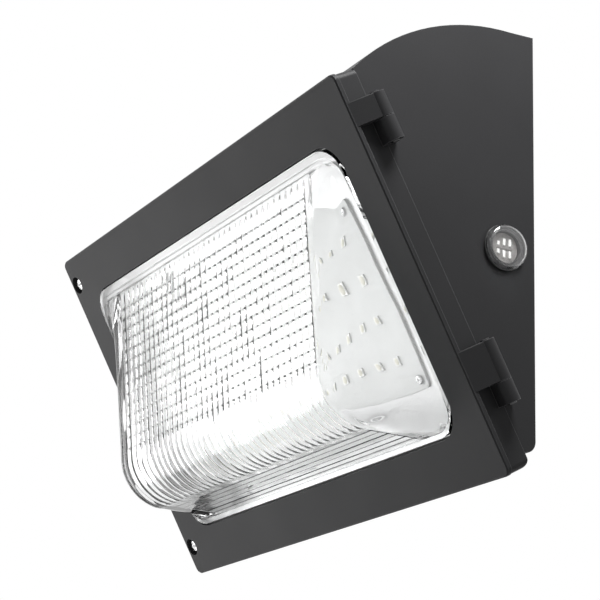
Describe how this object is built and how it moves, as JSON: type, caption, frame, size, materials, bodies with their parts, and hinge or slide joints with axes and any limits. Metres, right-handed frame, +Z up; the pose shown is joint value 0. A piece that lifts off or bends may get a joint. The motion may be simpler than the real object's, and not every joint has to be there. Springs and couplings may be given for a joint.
{
  "type": "wall pack light",
  "caption": "Outdoor wall light with a cast sloping hood, hinged door frame, ribbed pressed-glass bowl, dusk sensor and captive door screws.",
  "frame": {"origin": "on the wall face, at the centre of the junction box screw pattern", "axes": "+X to the viewer's right along the light's width, +Y into the wall, +Z up"},
  "size_m": [0.3674, 0.1285, 0.2495],
  "materials": {
    "powder_coat": "fine-textured charcoal powder coat on cast aluminium",
    "silicone": "matte silicone",
    "glass": "pressed borosilicate, clear and prismatic",
    "steel": "bright zinc-plated steel",
    "white_reflector": "gloss white aluminium sheet",
    "white_board": "white solder mask on aluminium",
    "led": "yellow phosphor",
    "white_plastic": "moulded nylon",
    "lead_insulation": "PVC insulation",
    "driver_case": "white-painted steel case",
    "ground_green": "green-dyed zinc",
    "connector_plastic": "moulded polypropylene",
    "black_plastic": "moulded polycarbonate",
    "clear_plastic": "clear polycarbonate",
    "sensor": "pale ceramic with metal bars"
  },
  "bodies": {
    "housing": {"rear_housing": "powder_coat", "door_gasket": "silicone", "reflector_tray": "white_reflector", "tray_screws": "steel", "led_board": "white_board", "led_chips": "led", "board_screws": "steel", "led_connector": "white_plastic", "led_lead_grommet": "silicone", "led_leads": "lead_insulation", "led_driver": "driver_case", "driver_screws": "steel", "ground_screw": "ground_green", "wire_connectors": "connector_plastic", "photocell_leads": "lead_insulation", "driver_leads": "lead_insulation", "photocell_body": "black_plastic", "photocell_gasket": "silicone", "photocell_lens": "clear_plastic", "photocell_sensor": "sensor", "photocell_nut": "black_plastic", "conduit_plug": "powder_coat", "hinge_pin_upper": "steel", "hinge_pin_lower": "steel"},
    "door": {"door_frame": "powder_coat", "glass_refractor": "glass", "lens_gasket": "silicone", "lens_clips": "steel", "lens_clip_screws": "steel"},
    "upper_screw": {"captive_screw_upper": "steel"},
    "lower_screw": {"captive_screw_lower": "steel"}
  },
  "joints": [
    {"name": "door_hinge", "type": "hinge", "parent": "housing", "child": "door", "pos_m": [0.1819, -0.05758, -0.02517], "axis": [0, -0.4879, 0.8729], "range_deg": [0, 100]},
    {"name": "upper_screw_draw", "type": "slide", "parent": "door", "child": "upper_screw", "axis": [0, -0.8729, -0.4879], "range_m": [0, 0.009]},
    {"name": "lower_screw_draw", "type": "slide", "parent": "door", "child": "lower_screw", "axis": [0, -0.8729, -0.4879], "range_m": [0, 0.009]}
  ]
}
